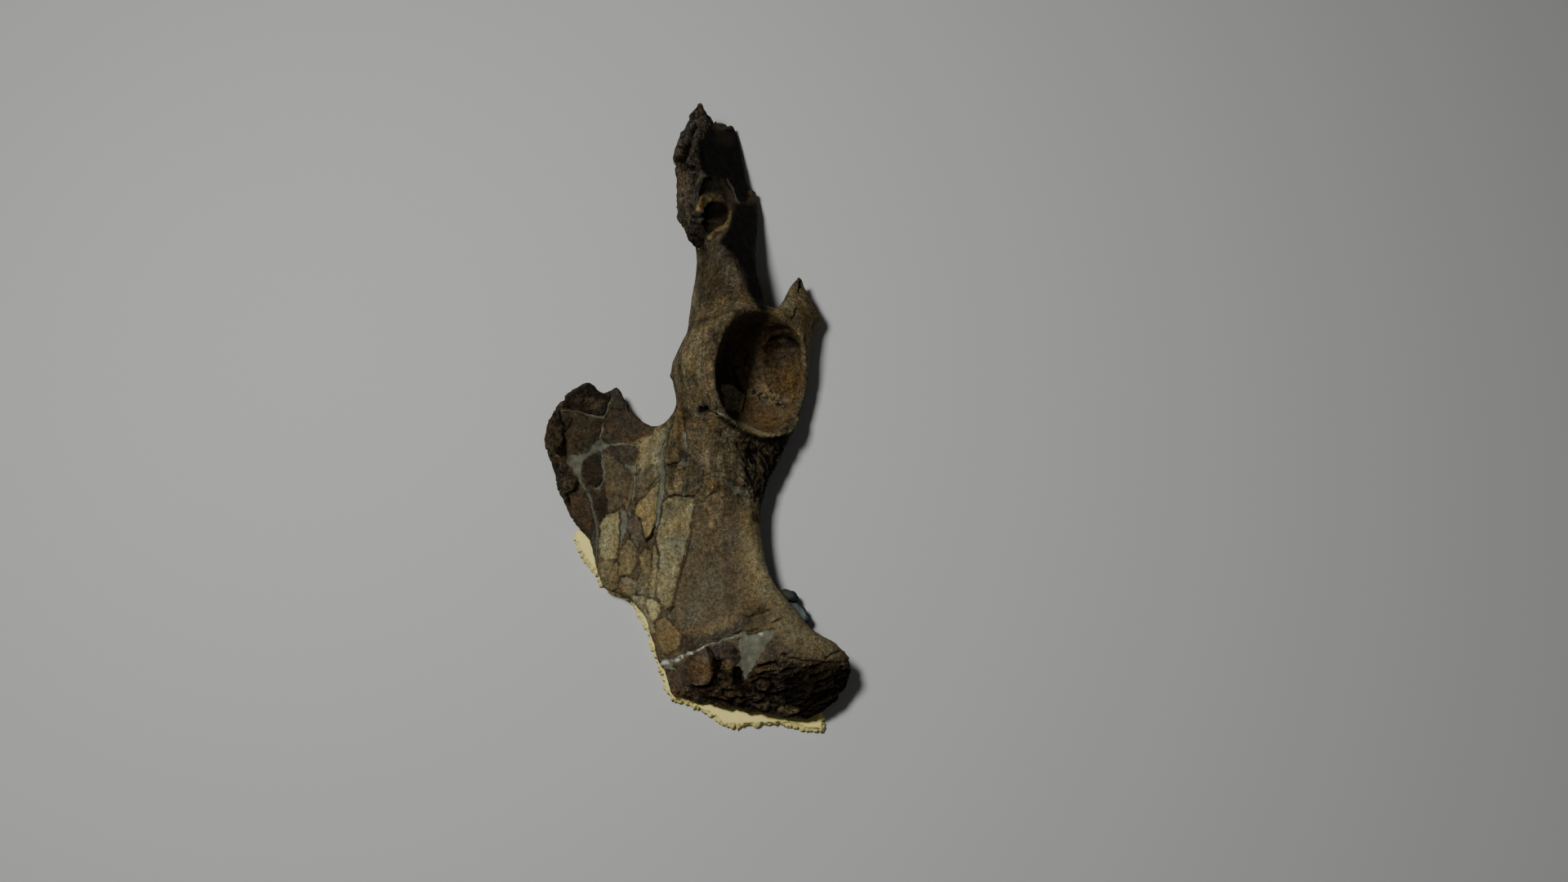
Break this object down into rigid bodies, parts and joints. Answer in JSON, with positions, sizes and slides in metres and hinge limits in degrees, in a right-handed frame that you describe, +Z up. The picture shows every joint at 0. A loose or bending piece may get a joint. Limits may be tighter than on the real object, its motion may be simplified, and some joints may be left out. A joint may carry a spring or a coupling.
{
  "type": "fossil proboscidean half pelvis",
  "caption": "Fossil elephant-like half pelvis lying outer face up: broad iliac blade, deep hip socket, broken ischium and pubis, torn plaster bed under its edge.",
  "frame": {"origin": "middle of the footprint, on the ground the bone lies on", "axes": "+Z up through the outer face of the ilium, +Y along the ischium away from the iliac crest, +X towards the broken pubis, the side the hip socket opens to"},
  "size_m": [0.4302, 0.9338, 0.1836],
  "materials": {
    "fossil_bone": "dull mineralised bone with filled joints",
    "plaster": "matt torn plaster",
    "grey_stone": "matt weathered stone"
  },
  "bodies": {
    "root": {"innominate_bone": "fossil_bone", "plaster_bed": "plaster", "prop_stone_large": "grey_stone", "prop_stone_small": "grey_stone"}
  },
  "joints": []
}
